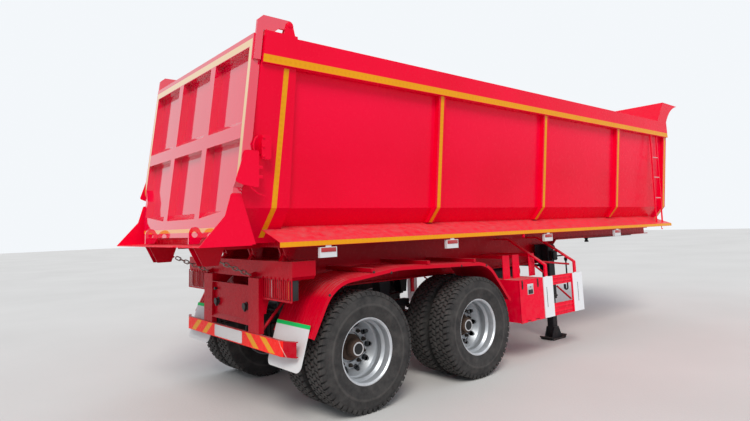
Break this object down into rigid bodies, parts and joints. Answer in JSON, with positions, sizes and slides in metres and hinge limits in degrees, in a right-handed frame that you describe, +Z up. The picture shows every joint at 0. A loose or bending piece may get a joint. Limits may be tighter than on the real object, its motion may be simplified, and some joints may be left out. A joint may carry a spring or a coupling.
{
  "type": "tipper semi-trailer",
  "caption": "Rear-tipping semi-trailer on its landing legs: open steel body with a top-hung tailgate, front tipping cylinder, and tandem axles with twin wheels.",
  "frame": {"origin": "on the ground, at the centre of the length and the width", "axes": "+X runs forward to the kingpin, +Y to the trailer's left side, +Z up"},
  "size_m": [9.082, 2.5, 3.71],
  "materials": {
    "black_paint": "black semi-gloss enamel",
    "chrome_rod": "hard chrome",
    "flap_sheet": "white rubber sheet with a green band",
    "galvanised_steel": "weathered galvanised chain",
    "lamp_plastic": "red and amber lamp lenses",
    "red_paint": "bright red gloss enamel",
    "silver_paint": "silver wheel enamel",
    "spring_steel": "dark oiled steel",
    "tyre_rubber": "dusty black tyre rubber"
  },
  "bodies": {
    "chassis": {"main_beams": "red_paint", "cross_members": "red_paint", "rear_beam": "red_paint", "underrun_guard": "red_paint", "tail_lamps": "lamp_plastic", "mudguard_left": "red_paint", "mudguard_right": "red_paint", "guard_brackets": "red_paint", "mudflaps": "flap_sheet", "toolbox": "red_paint", "side_guard_left": "red_paint", "side_guard_right": "red_paint", "landing_legs": "black_paint", "skid_plate": "black_paint", "spring_hangers": "black_paint", "leaf_springs": "spring_steel", "axles": "black_paint", "air_tanks": "black_paint", "cylinder_cradle": "red_paint"},
    "tub": {"tub_floor": "red_paint", "side_wall_left": "red_paint", "side_wall_right": "red_paint", "front_wall": "red_paint", "cylinder_housing": "red_paint", "lift_bracket": "red_paint", "front_visor": "red_paint", "top_rail_left": "red_paint", "top_rail_right": "red_paint", "side_stakes_left": "red_paint", "side_stakes_right": "red_paint", "side_ledge_left": "red_paint", "side_ledge_right": "red_paint", "rear_post_left": "red_paint", "rear_post_right": "red_paint", "tail_chute": "red_paint", "tub_subframe": "red_paint", "tub_cross_members": "red_paint", "gate_hooks": "red_paint", "ladder": "red_paint", "marker_lamps": "lamp_plastic"},
    "tailgate": {"tailgate_panel": "red_paint", "tailgate_frame": "red_paint", "tailgate_arms": "red_paint", "lock_lugs": "red_paint"},
    "toolbox_door": {"toolbox_door": "red_paint"},
    "cylinder_barrel": {"cylinder_barrel": "red_paint"},
    "hook_chains": {"hook_chains": "galvanised_steel"},
    "cylinder_stage_1": {"cylinder_stage_1": "chrome_rod"},
    "cylinder_stage_2": {"cylinder_stage_2": "chrome_rod"},
    "cylinder_stage_3": {"cylinder_stage_3": "chrome_rod"},
    "cylinder_stage_4": {"cylinder_stage_4": "chrome_rod"},
    "cylinder_stage_5": {"cylinder_stage_5": "chrome_rod"},
    "wheels_rear_left": {"tyres_rear_left": "tyre_rubber", "rims_rear_left": "silver_paint"},
    "wheels_rear_right": {"tyres_rear_right": "tyre_rubber", "rims_rear_right": "silver_paint"},
    "wheels_front_left": {"tyres_front_left": "tyre_rubber", "rims_front_left": "silver_paint"},
    "wheels_front_right": {"tyres_front_right": "tyre_rubber", "rims_front_right": "silver_paint"}
  },
  "joints": [
    {"name": "wheels_rear_left_spin", "type": "hinge", "parent": "chassis", "child": "wheels_rear_left", "pos_m": [-2.979, 0.92, 0.538], "axis": [0, 1, 0], "continuous": true},
    {"name": "wheels_rear_right_spin", "type": "hinge", "parent": "chassis", "child": "wheels_rear_right", "pos_m": [-2.979, -0.92, 0.538], "axis": [0, 1, 0], "continuous": true},
    {"name": "wheels_front_left_spin", "type": "hinge", "parent": "chassis", "child": "wheels_front_left", "pos_m": [-1.414, 0.92, 0.538], "axis": [0, 1, 0], "continuous": true},
    {"name": "wheels_front_right_spin", "type": "hinge", "parent": "chassis", "child": "wheels_front_right", "pos_m": [-1.414, -0.92, 0.538], "axis": [0, 1, 0], "continuous": true},
    {"name": "body_tip", "type": "hinge", "parent": "chassis", "child": "tub", "pos_m": [-3.634, 0, 1.44], "axis": [0, -1, 0], "range_deg": [0, 45]},
    {"name": "tailgate_swing", "type": "hinge", "parent": "tub", "child": "tailgate", "pos_m": [-3.784, 0, 3.458], "axis": [0, 1, 0], "range_deg": [0, 75]},
    {"name": "toolbox_door_swing", "type": "hinge", "parent": "chassis", "child": "toolbox_door", "pos_m": [-0.417, -1.236, 0.479], "axis": [1, 0, 0], "range_deg": [0, 110]},
    {"name": "cylinder_tilt", "type": "hinge", "parent": "chassis", "child": "cylinder_barrel", "pos_m": [4.251, 0, 1.56], "axis": [0, -1, 0], "range_deg": [0, 27.4]},
    {"name": "cylinder_stage_1_slide", "type": "slide", "parent": "cylinder_barrel", "child": "cylinder_stage_1", "axis": [0, 0, 1], "range_m": [0, 1.1917]},
    {"name": "cylinder_stage_2_slide", "type": "slide", "parent": "cylinder_stage_1", "child": "cylinder_stage_2", "axis": [0, 0, 1], "range_m": [0, 1.1917]},
    {"name": "cylinder_stage_3_slide", "type": "slide", "parent": "cylinder_stage_2", "child": "cylinder_stage_3", "axis": [0, 0, 1], "range_m": [0, 1.1917]},
    {"name": "cylinder_stage_4_slide", "type": "slide", "parent": "cylinder_stage_3", "child": "cylinder_stage_4", "axis": [0, 0, 1], "range_m": [0, 1.1917]},
    {"name": "cylinder_stage_5_slide", "type": "slide", "parent": "cylinder_stage_4", "child": "cylinder_stage_5", "axis": [0, 0, 1], "range_m": [0, 1.1917]},
    {"name": "chain_swing", "type": "hinge", "parent": "chassis", "child": "hook_chains", "pos_m": [-3.779, 0, 1.25], "axis": [0, -1, 0], "range_deg": [0, 67.3]}
  ],
  "couplings": [
    {"joint": "cylinder_tilt", "follows": "body_tip", "ratio": 0.60825},
    {"joint": "cylinder_stage_1_slide", "follows": "body_tip", "m_per_rad": 1.5166},
    {"joint": "cylinder_stage_2_slide", "follows": "body_tip", "m_per_rad": 1.5166},
    {"joint": "cylinder_stage_3_slide", "follows": "body_tip", "m_per_rad": 1.5166},
    {"joint": "cylinder_stage_4_slide", "follows": "body_tip", "m_per_rad": 1.5166},
    {"joint": "cylinder_stage_5_slide", "follows": "body_tip", "m_per_rad": 1.5166},
    {"joint": "chain_swing", "follows": "body_tip", "ratio": 1.4933}
  ]
}
